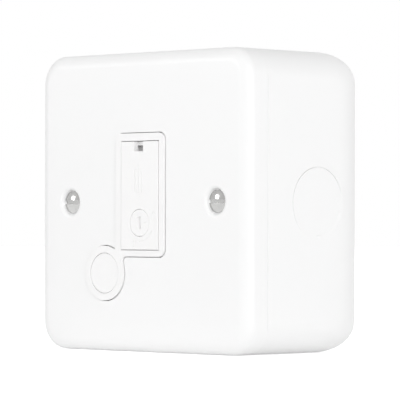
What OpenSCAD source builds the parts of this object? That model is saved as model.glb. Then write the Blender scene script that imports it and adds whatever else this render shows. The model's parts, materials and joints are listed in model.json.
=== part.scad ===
// Fused spur unit on its surface mounting back box.
// The origin is the centre of the back face, which lies against the wall.
// X runs to the right, Z up the wall, and the faceplate looks along -Y.
// Each piece is drawn lying on its back, with its height above the wall along Z,
// and stand() turns it upright.

/* [Back box] */
// Width and height of the square box and its faceplate
box_w = 87; // [82:1:96]
// Depth of the box, from the wall to its rim
box_d = 41; // [38:1:50]
// Radius of the box's corners, seen from the front
box_corner_r = 9.2; // [8.8:0.1:12]
// Radius of the rounding round the back face
box_edge_r = 8; // [4:0.5:8.5]
// Thickness of the box's side walls
box_wall = 2.3; // [1.8:0.1:3]
// Thickness of the box's floor
box_floor_t = 2.4; // [1.8:0.1:3.2]
// Chamfer on the box's rim and on the plate's rear edge, which makes the parting line
rim_chamfer = 0.4; // [0.2:0.1:0.8]

/* [Knock-outs] */
// Diameter of the conduit knock-out in each side of the box
knockout_d = 20.6; // [16:0.2:24]
// Height of the knock-out's centre above the wall
knockout_height = 20.4; // [19:0.2:24]
// Width of the fine line round a knock-out on the outside
knockout_line_w = 0.2; // [0.1:0.05:0.4]
// Depth of that line
knockout_line_depth = 0.15; // [0.1:0.05:0.3]
// Width of the groove round a knock-out on the inside
knockout_groove_w = 1; // [0.6:0.1:1.4]
// Thickness of the web that the two leave between them
knockout_web_t = 0.7; // [0.5:0.1:1]
// Width of the ramp along a quarter of the knock-out, where it is pushed to break it
ramp_w = 1.3; // [0.8:0.1:2]
// Depth of the ramp at its outer side
ramp_depth = 0.3; // [0.2:0.05:0.5]
// Diameter of the cable knock-out in the floor
floor_knockout_d = 20; // [14:0.5:22]

/* [Wall fixings] */
// Distance between the two round fixing holes, up the box
fixing_pitch = 51; // [46:1:56]
// Diameter of a fixing hole, and width of a fixing slot
fixing_hole_d = 4.6; // [4:0.1:5.4]
// Distance between the two fixing slots, across the box
slot_pitch = 38; // [34:1:40]
// Length of a fixing slot, end to end
fixing_slot_l = 8.6; // [6:0.2:10]
// Diameter of the raised pad round a fixing hole
fixing_pad_d = 10; // [8:0.5:12]
// Height of the pad above the floor
fixing_pad_h = 1; // [0.5:0.1:2]

/* [Screw pillars and inserts] */
// Distance between the two faceplate screws, the standard one-gang pitch
screw_pitch = 60.3; // [58:0.1:62]
// Diameter of the moulded pillar that takes a faceplate screw
pillar_d = 9.2; // [8.4:0.2:10]
// Depth of the pillar below the box's rim, short enough to stand clear of the knock-outs
pillar_l = 11; // [10:0.5:20]
// Outer diameter of the brass insert in a pillar
insert_d = 5.6; // [5:0.1:6.4]
// Length of the brass insert
insert_l = 9; // [6:0.5:14]

/* [Front plate] */
// Thickness of the front plate, from the parting line to its face
plate_t = 7.8; // [7:0.1:10]
// Thickness of the plate's face
plate_face_t = 2.6; // [2:0.1:3.2]
// Thickness of the plate's side walls
plate_wall = 2.4; // [1.8:0.1:3]
// Radius of the plate's corners, seen from the front
plate_corner_r = 8.5; // [7:0.1:12]
// Width of the rounded front edge, measured across the face
plate_edge_w = 4.2; // [2:0.1:6]
// Depth of the rounded front edge, measured down the side
plate_edge_h = 3; // [1.5:0.1:4]

/* [Plate screws] */
// Diameter of a faceplate screw's shank
screw_d = 3.4; // [3:0.1:3.6]
// Diameter of its countersunk head
screw_head_d = 6.6; // [6:0.1:7]
// Height of the head's raised dome
screw_dome_h = 0.7; // [0.3:0.1:0.9]
// Height of the straight rim between the dome and the countersink
screw_rim_h = 0.3; // [0.2:0.1:0.5]
// Depth of the top of the dome below the plate's face
head_recess = 0.35; // [0.1:0.05:0.8]
// Length of the screw under its head
screw_l = 24; // [18:1:28]
// Width of the screwdriver slot
screw_slot_w = 1; // [0.7:0.1:1.3]
// Depth of the screwdriver slot below the top of the dome
screw_slot_depth = 1.1; // [0.6:0.1:1.4]
// Outer diameter of the plate's boss round the screw
screw_boss_d = 8.4; // [7.6:0.2:9]
// Radius of the rounded lip of the screw's hole
screw_lip_r = 1.1; // [0.6:0.1:1.2]

/* [Insert frame] */
// Width of the frame's border beside the fuse carrier
frame_side_w = 2.2; // [2:0.1:2.6]
// Width of the frame's border above and below the fuse carrier, to its opening
frame_end_w = 2.05; // [1.8:0.05:2.4]
// Height of the frame's centre above the plate's centre
frame_centre_y = 2; // [0:0.1:3]
// Radius of the frame's corners
frame_corner_r = 2.3; // [1:0.1:3]
// How far the frame stands out of the plate's face
frame_proud = 0.5; // [0.2:0.1:1]
// Distance of the flex outlet's centre to the left of the plate's centre
outlet_left = 14.8; // [13.8:0.1:16]
// Distance of the flex outlet's centre below the plate's centre
outlet_below = 20.8; // [20:0.1:22]
// Outer diameter of the ring round the flex outlet
outlet_ring_d = 16; // [15:0.1:17.4]
// Diameter of the knock-out disc in the ring
outlet_disc_d = 11.9; // [9:0.1:12.4]
// How far the disc lies below the ring's face
outlet_disc_recess = 0.1; // [0:0.05:0.6]
// Thickness of the disc
outlet_disc_t = 1.3; // [1:0.1:1.6]
// Width of the fine groove round the disc
outlet_groove_w = 0.15; // [0.1:0.05:0.4]
// Depth of that groove, below the disc's face
outlet_groove_depth = 0.5; // [0.2:0.1:0.7]
// Radius of the fillet where the ring runs into the frame
outlet_fillet_r = 1.5; // [1.4:0.1:2.2]
// Width of the flange behind the plate's face
flange_w = 1.2; // [0.8:0.1:1.3]
// Thickness of the flange
flange_t = 1.4; // [1:0.1:2]
// Gap between the frame and the plate's opening
frame_gap = 0.15; // [0.05:0.05:0.3]
// Thickness of the well's walls
well_wall = 1.6; // [1.2:0.1:2]

/* [Fuse carrier] */
// Width of the carrier's face
carrier_w = 15.4; // [15:0.1:16.2]
// Gap between each end of the fuse and the carrier's skirt
fuse_end_gap = 1.6; // [1.4:0.1:2.4]
// Height of the carrier's centre above the plate's centre
carrier_centre_y = 1.8; // [1:0.1:2.4]
// How far the carrier's face stands out of the frame
carrier_proud = 0.1; // [0:0.1:0.6]
// Thickness of the carrier's face
carrier_face_t = 1.9; // [1.8:0.1:2.3]
// Gap between the carrier's face and the frame, on every side
carrier_gap = 0.15; // [0.1:0.05:0.3]
// Step from the carrier's face in to its skirt
skirt_step = 0.1; // [0.05:0.05:0.3]
// Thickness of the skirt's walls
skirt_wall = 1.3; // [1:0.1:1.6]
// Depth of the skirt behind the carrier's face
skirt_h = 10.6; // [10.4:0.1:11.4]
// Width of the screwdriver notch at the carrier's top
notch_w = 4.1; // [3:0.1:5]
// Height of the notch, down from the carrier's top edge
notch_h = 2.9; // [2:0.1:4]
// Depth of the notch, through the face and into the skirt's top wall
notch_depth = 2.3; // [2:0.1:3]
// Depth to which the notch runs in under the bar that it leaves of the skirt's top wall
notch_reach = 5; // [3.6:0.1:7]
// Thickness of that bar, which a screwdriver's tip levers on
notch_bar_t = 0.65; // [0.5:0.05:1]

/* [Lock] */
// Distance of the lock's centre below the plate's centre
lock_below = 6.1; // [5.6:0.1:6.6]
// Diameter of the lock's disc
lock_d = 7.8; // [7:0.1:8.6]
// How far the disc lies below the carrier's face
lock_recess = 0.1; // [0:0.1:0.4]
// Thickness of the disc
lock_t = 1; // [0.8:0.1:1.1]
// Diameter of the lock's spindle
spindle_d = 3.8; // [3:0.1:4.4]
// Gap round the spindle
spindle_gap = 0.05; // [0.03:0.01:0.08]
// Gap round the disc
lock_gap = 0.15; // [0.1:0.05:0.3]
// Length of the slot in the disc
lock_slot_l = 3.6; // [2.5:0.1:4.5]
// Width of the slot in the disc
lock_slot_w = 0.9; // [0.6:0.1:1.2]
// Depth of the slot in the disc
lock_slot_depth = 0.6; // [0.4:0.1:0.7]
// Thickness of the cam behind the carrier's face
cam_t = 1.4; // [1:0.1:1.6]
// Width of the cam's arm
cam_w = 2.4; // [1.8:0.1:3]
// Reach of the cam from its spindle
cam_reach = 9; // [8.8:0.1:9.2]
// Gap between the cam and what it turns past
cam_gap = 0.5; // [0.4:0.1:0.6]

/* [Fuse] */
// Diameter of the cartridge fuse
fuse_d = 6.35; // [5:0.05:6.6]
// Length of the cartridge fuse
fuse_l = 25.4; // [24:0.1:26]
// Length of each end cap
cap_l = 5.6; // [5:0.1:6]
// Thickness of an end cap's metal
cap_t = 0.3; // [0.2:0.05:0.5]
// Length of the cradle that grips the fuse's barrel
cradle_l = 10; // [8:0.5:11]
// Gap round the fuse in its cradle
cradle_gap = 0.05; // [0.02:0.01:0.1]

/* [Contacts and terminals] */
// Thickness of the brass strip
strip_t = 0.8; // [0.6:0.1:1]
// Width of the brass strip
strip_w = 2.6; // [2:0.1:2.8]
// Thickness of a contact's two leaves
leaf_t = 0.7; // [0.5:0.1:0.9]
// Width of a contact's leaves
leaf_w = 4.2; // [3.4:0.1:4.8]
// Gap between a leaf and the fuse's end cap
leaf_gap = 0.05; // [0.02:0.01:0.1]
// Width of a terminal block
terminal_w = 7; // [6:0.1:7.6]
// Width of the earth terminal block, which takes two wires
earth_terminal_w = 13; // [12.6:0.1:14]
// Height of a terminal block, along its wire bore
terminal_h = 8; // [7:0.1:8.6]
// Depth of a terminal block, along its screw
terminal_t = 9.6; // [8.6:0.1:10.4]
// Diameter of a wire bore
wire_bore_d = 4.2; // [3.4:0.1:4.4]
// Diameter of a terminal screw
terminal_screw_d = 3.5; // [3:0.1:4]
// Diameter of a terminal screw's head
terminal_screw_head_d = 5.6; // [5:0.1:6]
// Thickness of a terminal screw's head
terminal_screw_head_t = 1.8; // [1.4:0.1:2.4]
// Distance of the right-hand terminals from the plate's centre
live_right = 16.4; // [15.6:0.1:17]
// Distance of the neutral supply terminal to the left of the plate's centre
neutral_left = 16.4; // [15.6:0.1:17]
// Distance of the neutral load terminal to the right of the plate's centre
neutral_load_right = 3.6; // [3:0.1:5]
// Distance of the supply terminals above the plate's centre
supply_above = 20.6; // [20:0.1:21]
// Distance of the load terminals below the plate's centre
load_below = 19.6; // [19:0.1:20]

/* [Housing] */
// Gap between the rear housing and the box's screw pillars
housing_clearance = 0.95; // [0.5:0.05:1.4]
// Distance of the housing's top above the plate's centre
housing_above = 27; // [26.2:0.1:28]
// Distance of the housing's bottom below the plate's centre
housing_below = 25.6; // [25:0.1:26.4]
// Radius of the housing's corners
housing_corner_r = 3; // [1.5:0.5:3.5]
// Thickness of the housing's rear wall, under the terminals
housing_rear_t = 2; // [1.6:0.1:2.6]
// Gap round a terminal in its pocket
pocket_gap = 0.2; // [0.1:0.05:0.3]
// Distance of each housing screw from the plate's centre
housing_screw_out = 21.4; // [21:0.1:21.8]
// Diameter of a housing screw
housing_screw_d = 2.6; // [2.2:0.1:3]
// Diameter of a housing screw's head
housing_screw_head_d = 5; // [4.4:0.1:5.4]
// Thickness of a housing screw's head
housing_screw_head_t = 1.6; // [1.2:0.1:2]
// Diameter of the plate's boss for a housing screw
housing_boss_d = 6; // [5.4:0.1:6.4]

/* [Cord grip] */
// Thickness of the cord grip's bar
grip_t = 3.4; // [2.8:0.1:4]
// Width of the bar
grip_w = 7; // [6:0.2:8]
// Diameter of a cord grip screw
grip_screw_d = 2.4; // [2:0.1:2.6]
// Diameter of a cord grip screw's head
grip_screw_head_d = 4.4; // [3.8:0.1:4.6]
// Thickness of its head
grip_screw_head_t = 1.5; // [1.2:0.1:2]
// Depth of the groove across the bar, which bites on the flex
grip_groove_depth = 1; // [0.5:0.1:1.4]

/* [Box earth terminal] */
// Distance of the terminal from the box's right side
box_earth_in = 16.5; // [14.5:0.5:18.5]
// Distance of the terminal from the box's bottom side
box_earth_up = 19.5; // [16.5:0.5:21.5]
// Height of the moulded post that carries it
box_earth_post_h = 5; // [3:0.5:7]

/* [Hidden] */
// Flat steps along a quarter of a rounded edge
edge_steps = 10;
// Fineness of round shapes
round_fn = 96;
// How far a cut runs past the face it opens
overrun = 1;
// Gap between a screw and the thread that holds it
thread_gap = 0.05;
// Gap between a screw and a hole it only passes through
hole_gap = 0.2;
// How far the back of a seat stands behind what rests on it
seat_gap = 0.05;
// How far the outlet's fillet runs into the ring and the frame, so that their arcs cross
fillet_overlap = 0.02;
// Width and height of the small bar at the top of the lock's slot
lock_serif_w = 1.9;
lock_serif_h = 0.7;
// Share of the fuse's radius at which the cradle's mouth opens
cradle_mouth_share = 0.35;
// Share of a contact's leaf that stands in front of the fuse's centre
leaf_tip_share = 0.6;
// Share of the terminal's depth at which its wire bore lies, from the front
wire_bore_share = 0.6;
// Angle round the knock-out that the ramp takes up
ramp_angle = 82;
// Width of the ribs that stiffen the plate behind its face
plate_rib_w = 1.2;
// Height of those ribs behind the face
plate_rib_h = 2;

plate_w = box_w;
box_earth_right = box_w / 2 - box_earth_in;
box_earth_below = box_w / 2 - box_earth_up;
housing_w = screw_pitch - pillar_d - 2 * housing_clearance;
carrier_h = fuse_l + 2 * (fuse_end_gap + skirt_wall + skirt_step);
face_z = box_d + plate_t;
plate_rear_z = face_z - plate_face_t;
frame_face_z = face_z + frame_proud;
carrier_face_z = frame_face_z + carrier_proud;
carrier_rear_z = carrier_face_z - carrier_face_t;
cam_front_z = carrier_rear_z - cam_gap / 2;
cam_rear_z = cam_front_z - cam_t;
fuse_z = cam_rear_z - cam_gap - fuse_d / 2;
skirt_rear_z = carrier_rear_z - skirt_h;
strip_front_z = skirt_rear_z - cam_gap;
strip_rear_z = strip_front_z - strip_t;
terminal_rear_z = strip_rear_z - terminal_t;
housing_rear_z = terminal_rear_z - housing_rear_t;
flange_rear_z = plate_rear_z - flange_t;
housing_front_z = flange_rear_z;
well_rear_z = strip_front_z + cam_gap / 2;
pocket_w = carrier_w + 2 * carrier_gap;
pocket_h = carrier_h + 2 * carrier_gap;
frame_w = pocket_w + 2 * frame_side_w;
frame_h = pocket_h + 2 * frame_end_w;
skirt_w = carrier_w - 2 * skirt_step;
skirt_outer_h = carrier_h - 2 * skirt_step;
well_w = pocket_w + 2 * well_wall;
well_h = pocket_h + 2 * well_wall;
carrier_top_y = carrier_centre_y + carrier_h / 2;
frame_bottom_y = frame_centre_y - frame_h / 2;
lock_face_z = carrier_face_z - lock_recess;
lock_rear_z = lock_face_z - lock_t;
cap_centre_out = (fuse_l - cap_l) / 2;
leaf_tip_z = fuse_z + leaf_tip_share * fuse_d / 2;
leaf_out = fuse_d / 2 + leaf_gap;
upper_jaw_y = carrier_centre_y + cap_centre_out;
lower_jaw_y = carrier_centre_y - cap_centre_out;
link_y = lower_jaw_y - leaf_w / 2 - strip_w / 2 - cam_gap;
screw_out = screw_pitch / 2;
cone_h = (screw_head_d - screw_d) / 2;
screw_top_z = face_z - head_recess;
screw_seat_z = screw_top_z - screw_dome_h - screw_rim_h;
screw_tip_z = screw_seat_z - cone_h - screw_l;
pillar_bore_l = box_d - screw_tip_z + overrun;
housing_screw_l = housing_front_z - housing_rear_z + plate_face_t / 2 + flange_t;
grip_bore_y = -housing_below;
flex_way_r = outlet_disc_d / 2;
grip_left = outlet_left + flex_way_r + (housing_w / 2 - outlet_left - flex_way_r) / 2;
grip_right = 2 * outlet_left - grip_left;
grip_z = terminal_rear_z + terminal_t / 2;
grip_screw_l = 2 * grip_t;

// Turns a piece that lies on its back upright, with its height above the wall towards -Y
module stand() {
    rotate([90, 0, 0]) children();
}

// Rectangle with round corners, centred
module round_rect(w, h, r) {
    square([w - 2 * r, h], center = true);
    square([w, h - 2 * r], center = true);
    for (sx = [-1, 1], sy = [-1, 1])
        translate([sx * (w / 2 - r), sy * (h / 2 - r)]) circle(r, $fn = round_fn);
}

// Slot with round ends, centred and lying along X
module slot_outline(l, w) {
    square([l - w, w], center = true);
    for (side = [-1, 1]) translate([side * (l - w) / 2, 0]) circle(w / 2, $fn = round_fn);
}

// Solid square block with round corners whose side follows an edge of [inset, height] points
module edged_block(w, corner_r, edge) {
    low = edge[0][1];
    high = edge[len(edge) - 1][1];
    straight = w - 2 * corner_r;
    for (turn = [0:90:270])
        rotate([0, 0, turn])
            translate([straight / 2, straight / 2, 0])
                rotate_extrude(angle = 90, $fn = round_fn)
                    polygon(concat([[0, low]], [for (p = edge) [corner_r - p[0], p[1]]], [[0, high]]));
    for (turn = [0, 90])
        rotate([90, 0, turn])
            translate([0, 0, -straight / 2])
                linear_extrude(straight)
                    polygon(concat(
                        [for (p = edge) [w / 2 - p[0], p[1]]],
                        [for (i = [len(edge) - 1:-1:0]) [edge[i][0] - w / 2, edge[i][1]]]
                    ));
}

// Points of a rounded edge that starts on a face below and ends on the side
function lower_edge(across, up, base) = [
    for (i = [0:edge_steps]) let (t = 90 * i / edge_steps)
        [across * (1 - sin(t)), base + up * (1 - cos(t))]
];

// Points of a rounded edge that starts on the side and ends on a face above
function upper_edge(across, up, top) = [
    for (i = [0:edge_steps]) let (t = 90 * i / edge_steps)
        [across * (1 - cos(t)), top - up * (1 - sin(t))]
];

// Line, ramp and inner groove of a knock-out, as cut into a wall whose outer face is at height zero
module knockout_cut(d, wall) {
    rotate_extrude($fn = round_fn) {
        translate([d / 2 - knockout_line_w, -knockout_line_depth])
            square([knockout_line_w, knockout_line_depth + overrun]);
        translate([d / 2 - knockout_groove_w, -wall - overrun])
            square([knockout_groove_w, wall + overrun - knockout_line_depth - knockout_web_t]);
    }
    rotate([0, 0, -90])
        rotate_extrude(angle = ramp_angle, $fn = round_fn)
            polygon([
                [d / 2 - ramp_w, 0],
                [d / 2 - knockout_line_w / 2, -ramp_depth],
                [d / 2 - knockout_line_w / 2, overrun],
                [d / 2 - ramp_w, overrun],
            ]);
}

// Pillar for a faceplate screw, hung from the box's wall on the right
module screw_pillar() {
    translate([screw_out, 0, box_d - pillar_l]) cylinder(h = pillar_l, d = pillar_d, $fn = round_fn);
    translate([screw_out, -pillar_d / 2, box_d - pillar_l])
        cube([box_w / 2 - box_wall / 2 - screw_out, pillar_d, pillar_l]);
}

module back_box() color("white") stand()
    difference() {
        union() {
            difference() {
                edged_block(box_w, box_corner_r, concat(
                    lower_edge(box_edge_r, box_edge_r, 0),
                    [[0, box_d - rim_chamfer], [rim_chamfer, box_d]]
                ));
                edged_block(box_w - 2 * box_wall, box_corner_r - box_wall, concat(
                    lower_edge(box_edge_r - box_wall, box_edge_r - box_wall, box_floor_t),
                    [[0, box_d + overrun]]
                ));
            }
            intersection() {
                edged_block(box_w - box_wall, box_corner_r - box_wall / 2, concat(
                    lower_edge(box_edge_r - box_wall / 2, box_edge_r - box_wall / 2, box_floor_t / 2),
                    [[0, box_d]]
                ));
                union() {
                    screw_pillar();
                    mirror([1, 0, 0]) screw_pillar();
                }
            }
            for (side = [-1, 1])
                translate([0, side * fixing_pitch / 2, box_floor_t / 2])
                    cylinder(h = box_floor_t / 2 + fixing_pad_h, d = fixing_pad_d, $fn = round_fn);
            translate([box_earth_right, -box_earth_below, box_floor_t / 2])
                linear_extrude(box_floor_t / 2 + box_earth_post_h)
                    square(terminal_w, center = true);
        }
        for (side = [-1, 1]) {
            translate([side * screw_out, 0, box_d - insert_l])
                cylinder(h = insert_l + overrun, d = insert_d, $fn = round_fn);
            translate([side * screw_out, 0, box_d - pillar_bore_l])
                cylinder(h = pillar_bore_l, d = screw_d + 2 * hole_gap, $fn = round_fn);
            translate([0, side * fixing_pitch / 2, -overrun])
                cylinder(h = box_floor_t + fixing_pad_h + 2 * overrun, d = fixing_hole_d, $fn = round_fn);
            translate([side * slot_pitch / 2, 0, -overrun])
                linear_extrude(box_floor_t + 2 * overrun)
                    slot_outline(fixing_slot_l, fixing_hole_d);
        }
        for (turn = [0:90:270])
            rotate([0, 0, turn])
                translate([box_w / 2, 0, knockout_height])
                    rotate([0, 90, 0]) knockout_cut(knockout_d, box_wall);
        rotate([180, 0, 0]) knockout_cut(floor_knockout_d, box_floor_t);
    }

// Brass insert in a pillar, tapped for the faceplate screw
module fixing_insert(side) color("goldenrod") stand()
    translate([side * screw_out, 0, box_d - insert_l])
        difference() {
            cylinder(h = insert_l, d = insert_d, $fn = round_fn);
            translate([0, 0, -overrun])
                cylinder(h = insert_l + 2 * overrun, d = screw_d + 2 * thread_gap, $fn = round_fn);
        }

// Brass block with a wire bore along Y and a tapped hole for its screw along Z, its front face at zero
module terminal_block(w, wires) {
    step = w / wires;
    difference() {
        translate([-w / 2, -terminal_h / 2, -terminal_t]) cube([w, terminal_h, terminal_t]);
        for (i = [0:wires - 1])
            translate([step * (i + 0.5) - w / 2, 0, 0]) {
                translate([0, 0, -terminal_t * (1 - wire_bore_share)])
                    rotate([90, 0, 0])
                        translate([0, 0, -terminal_h / 2 - overrun])
                            cylinder(h = terminal_h + 2 * overrun, d = wire_bore_d, $fn = round_fn);
                translate([0, 0, -terminal_t - overrun])
                    cylinder(
                        h = terminal_t * wire_bore_share + overrun,
                        d = terminal_screw_d + 2 * thread_gap,
                        $fn = round_fn
                    );
            }
    }
}

// Slotted screw whose tip is at zero and whose head is below it
module rear_screw(d, l, head_d, head_t) {
    translate([0, 0, -l]) cylinder(h = l, d = d, $fn = round_fn);
    difference() {
        translate([0, 0, -l - head_t]) cylinder(h = head_t, d = head_d, $fn = round_fn);
        translate([-head_d / 2 - overrun, -screw_slot_w / 2, -l - head_t - overrun])
            cube([head_d + 2 * overrun, screw_slot_w, head_t / 2 + overrun]);
    }
}

module terminal_screw(x, y) color("silver") stand()
    translate([x, y, terminal_rear_z + terminal_t * wire_bore_share - wire_bore_d / 2])
        rear_screw(
            terminal_screw_d,
            terminal_t * wire_bore_share - wire_bore_d / 2 + housing_rear_t / 2,
            terminal_screw_head_d,
            terminal_screw_head_t
        );

module live_supply_screw() terminal_screw(live_right, supply_above);

module live_load_screw() terminal_screw(live_right, -load_below);

module neutral_supply_screw() terminal_screw(-neutral_left, supply_above);

module neutral_load_screw() terminal_screw(neutral_load_right, -load_below);

module earth_screws()
    for (side = [-1, 1]) terminal_screw(side * earth_terminal_w / 4, supply_above);

// Outline of the keyhole frame, larger all round by grow
module keyhole(grow) {
    ring_r = outlet_ring_d / 2;
    low_y = frame_bottom_y - outlet_fillet_r;
    centre_x = -outlet_left + sqrt(pow(ring_r + outlet_fillet_r, 2) - pow(low_y + outlet_below, 2));
    translate([0, frame_centre_y])
        round_rect(frame_w + 2 * grow, frame_h + 2 * grow, frame_corner_r + grow);
    translate([-outlet_left, -outlet_below]) circle(ring_r + grow, $fn = round_fn);
    difference() {
        polygon([
            [-outlet_left, -outlet_below],
            [centre_x, low_y],
            [centre_x, frame_bottom_y + frame_corner_r],
            [-outlet_left, frame_bottom_y + frame_corner_r],
        ]);
        translate([centre_x, low_y])
            circle(outlet_fillet_r - grow + fillet_overlap, $fn = round_fn);
    }
}

// Hole for a raised countersunk screw, from behind the plate to its rounded lip
module countersink() {
    bore_r = screw_d / 2 + hole_gap;
    mouth_r = screw_head_d / 2 + hole_gap;
    rotate_extrude($fn = round_fn)
        polygon(concat(
            [
                [0, box_d - overrun],
                [bore_r, box_d - overrun],
                [bore_r, screw_seat_z - cone_h],
                [mouth_r, screw_seat_z],
            ],
            [for (i = [0:edge_steps]) let (t = 90 * i / edge_steps)
                [mouth_r + screw_lip_r * (1 - cos(t)), face_z - screw_lip_r * (1 - sin(t))]],
            [[mouth_r + screw_lip_r, face_z + overrun], [0, face_z + overrun]]
        ));
}

module front_plate() color("white") stand()
    difference() {
        union() {
            difference() {
                edged_block(plate_w, plate_corner_r, concat(
                    [[rim_chamfer, box_d], [0, box_d + rim_chamfer]],
                    upper_edge(plate_edge_w, plate_edge_h, face_z)
                ));
                translate([0, 0, box_d - overrun])
                    linear_extrude(plate_t - plate_face_t + overrun)
                        round_rect(
                            plate_w - 2 * plate_wall, plate_w - 2 * plate_wall, plate_corner_r - plate_wall
                        );
            }
            for (side = [-1, 1]) {
                translate([side * screw_out, 0, box_d])
                    cylinder(h = plate_t - plate_face_t / 2, d = screw_boss_d, $fn = round_fn);
                translate([side * housing_screw_out, 0, housing_front_z])
                    cylinder(
                        h = face_z - plate_face_t / 2 - housing_front_z,
                        d = housing_boss_d,
                        $fn = round_fn
                    );
                translate([0, side * (plate_w / 2 - plate_wall - plate_rib_w), plate_rear_z - plate_rib_h])
                    translate([-housing_w / 2, -plate_rib_w / 2, 0])
                        cube([housing_w, plate_rib_w, plate_rib_h + plate_face_t / 2]);
            }
        }
        for (side = [-1, 1]) {
            translate([side * screw_out, 0, 0]) countersink();
            translate([side * housing_screw_out, 0, 0])
                cylinder(
                    h = housing_rear_z + housing_screw_l + hole_gap,
                    d = housing_screw_d + 2 * thread_gap,
                    $fn = round_fn
                );
        }
        translate([0, 0, box_d]) linear_extrude(plate_t + overrun) keyhole(frame_gap);
    }

// Slotted screw with a raised countersunk head
module plate_screw(side) color("silver") stand()
    translate([side * screw_out, 0, 0])
        difference() {
            union() {
                translate([0, 0, screw_tip_z])
                    cylinder(h = screw_l + cone_h / 2, d = screw_d, $fn = round_fn);
                translate([0, 0, screw_seat_z - cone_h])
                    cylinder(h = cone_h, d1 = screw_d, d2 = screw_head_d, $fn = round_fn);
                translate([0, 0, screw_seat_z])
                    cylinder(h = screw_rim_h, d = screw_head_d, $fn = round_fn);
                intersection() {
                    dome_r = (pow(screw_head_d / 2, 2) + pow(screw_dome_h, 2)) / (2 * screw_dome_h);
                    translate([0, 0, screw_top_z - dome_r]) sphere(dome_r, $fn = round_fn);
                    translate([0, 0, screw_seat_z + screw_rim_h / 2])
                        cylinder(h = screw_dome_h + screw_rim_h, d = screw_head_d, $fn = round_fn);
                }
            }
            translate([-screw_head_d / 2 - overrun, -screw_slot_w / 2, screw_top_z - screw_slot_depth])
                cube([screw_head_d + 2 * overrun, screw_slot_w, screw_slot_depth + overrun]);
        }

module insert_frame() color("white") stand()
    difference() {
        union() {
            translate([0, 0, plate_rear_z - flange_t / 2])
                linear_extrude(frame_face_z - plate_rear_z + flange_t / 2) keyhole(0);
            translate([0, 0, flange_rear_z])
                linear_extrude(flange_t) keyhole(flange_w);
            translate([0, carrier_centre_y, well_rear_z])
                linear_extrude(flange_rear_z - well_rear_z + flange_t / 2)
                    square([well_w, well_h], center = true);
        }
        translate([0, carrier_centre_y, well_rear_z - overrun])
            linear_extrude(frame_face_z - well_rear_z + 2 * overrun)
                square([pocket_w, pocket_h], center = true);
        // Keeper for the cam in the right wall
        translate([
            skirt_w / 2,
            -lock_below - cam_w / 2 - cam_gap,
            cam_rear_z - cam_gap,
        ])
            cube([
                cam_reach + cam_gap - skirt_w / 2,
                cam_w / 2 + cam_gap + cam_sweep_h(pocket_w / 2),
                cam_t + 2 * cam_gap,
            ]);
        // Flex outlet: the disc's recess, its groove, and the way behind it
        translate([-outlet_left, -outlet_below, 0]) {
            translate([0, 0, frame_face_z - outlet_disc_recess])
                cylinder(h = outlet_disc_recess + overrun, d = outlet_disc_d, $fn = round_fn);
            translate([0, 0, flange_rear_z - overrun])
                cylinder(
                    h = frame_face_z - outlet_disc_recess - outlet_disc_t - flange_rear_z + overrun,
                    r = outlet_disc_d / 2 - outlet_groove_w,
                    $fn = round_fn
                );
            rotate_extrude($fn = round_fn)
                translate([
                    outlet_disc_d / 2 - outlet_groove_w,
                    frame_face_z - outlet_disc_recess - outlet_groove_depth,
                ])
                    square([outlet_groove_w, outlet_groove_depth + outlet_disc_recess + overrun]);
        }
    }

// Height above the lock's centre line at which the cam's arm crosses a wall that far to the right
function cam_sweep_h(out) = sqrt(pow(cam_reach, 2) - pow(out, 2)) + cam_w / 2 + cam_gap;

module fuse_carrier() color("white") stand()
    difference() {
        union() {
            translate([0, carrier_centre_y, carrier_rear_z])
                linear_extrude(carrier_face_t)
                    square([carrier_w, carrier_h], center = true);
            difference() {
                translate([0, carrier_centre_y, skirt_rear_z])
                    linear_extrude(skirt_h + carrier_face_t / 2)
                        square([skirt_w, skirt_outer_h], center = true);
                translate([0, carrier_centre_y, skirt_rear_z - overrun])
                    linear_extrude(skirt_h + overrun)
                        square([skirt_w - 2 * skirt_wall, skirt_outer_h - 2 * skirt_wall], center = true);
            }
            // Cradle between the skirt's walls, which grips the fuse's barrel
            difference() {
                translate([-skirt_w / 2 + skirt_wall / 2, carrier_centre_y - cradle_l / 2, 0])
                    translate([0, 0, fuse_z - cradle_mouth_share * fuse_d / 2])
                        cube([
                            skirt_w - skirt_wall,
                            cradle_l,
                            cradle_mouth_share * fuse_d / 2 + fuse_d / 2 + cam_gap / 2,
                        ]);
                translate([0, carrier_centre_y, fuse_z])
                    rotate([90, 0, 0])
                        translate([0, 0, -cradle_l / 2 - overrun])
                            cylinder(
                            h = cradle_l + 2 * overrun,
                            d = fuse_d + 2 * cradle_gap,
                            $fn = round_fn
                        );
            }
        }
        // Lever notch, and its way in under the bar
        translate([-notch_w / 2, carrier_top_y - notch_h, carrier_face_z - notch_depth])
            cube([notch_w, notch_h + overrun, notch_depth + overrun]);
        translate([-notch_w / 2, carrier_top_y - notch_h, carrier_face_z - notch_reach])
            cube([notch_w, notch_h - skirt_step - notch_bar_t, notch_reach]);
        // Seat of the lock's disc, the spindle's bore and the cam's way out through the skirt
        translate([0, -lock_below, lock_rear_z - seat_gap])
            cylinder(
                h = lock_t + lock_recess + seat_gap + overrun,
                d = lock_d + 2 * lock_gap,
                $fn = round_fn
            );
        translate([0, -lock_below, carrier_rear_z - overrun])
            cylinder(h = carrier_face_t + overrun, d = spindle_d + 2 * spindle_gap, $fn = round_fn);
        translate([
            skirt_w / 2 - skirt_wall - overrun,
            -lock_below - cam_w / 2 - cam_gap,
            cam_rear_z - cam_gap,
        ])
            cube([
                skirt_wall + 2 * overrun,
                cam_w / 2 + cam_gap + cam_sweep_h(skirt_w / 2 - skirt_wall),
                carrier_rear_z - cam_rear_z + cam_gap,
            ]);
    }

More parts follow.
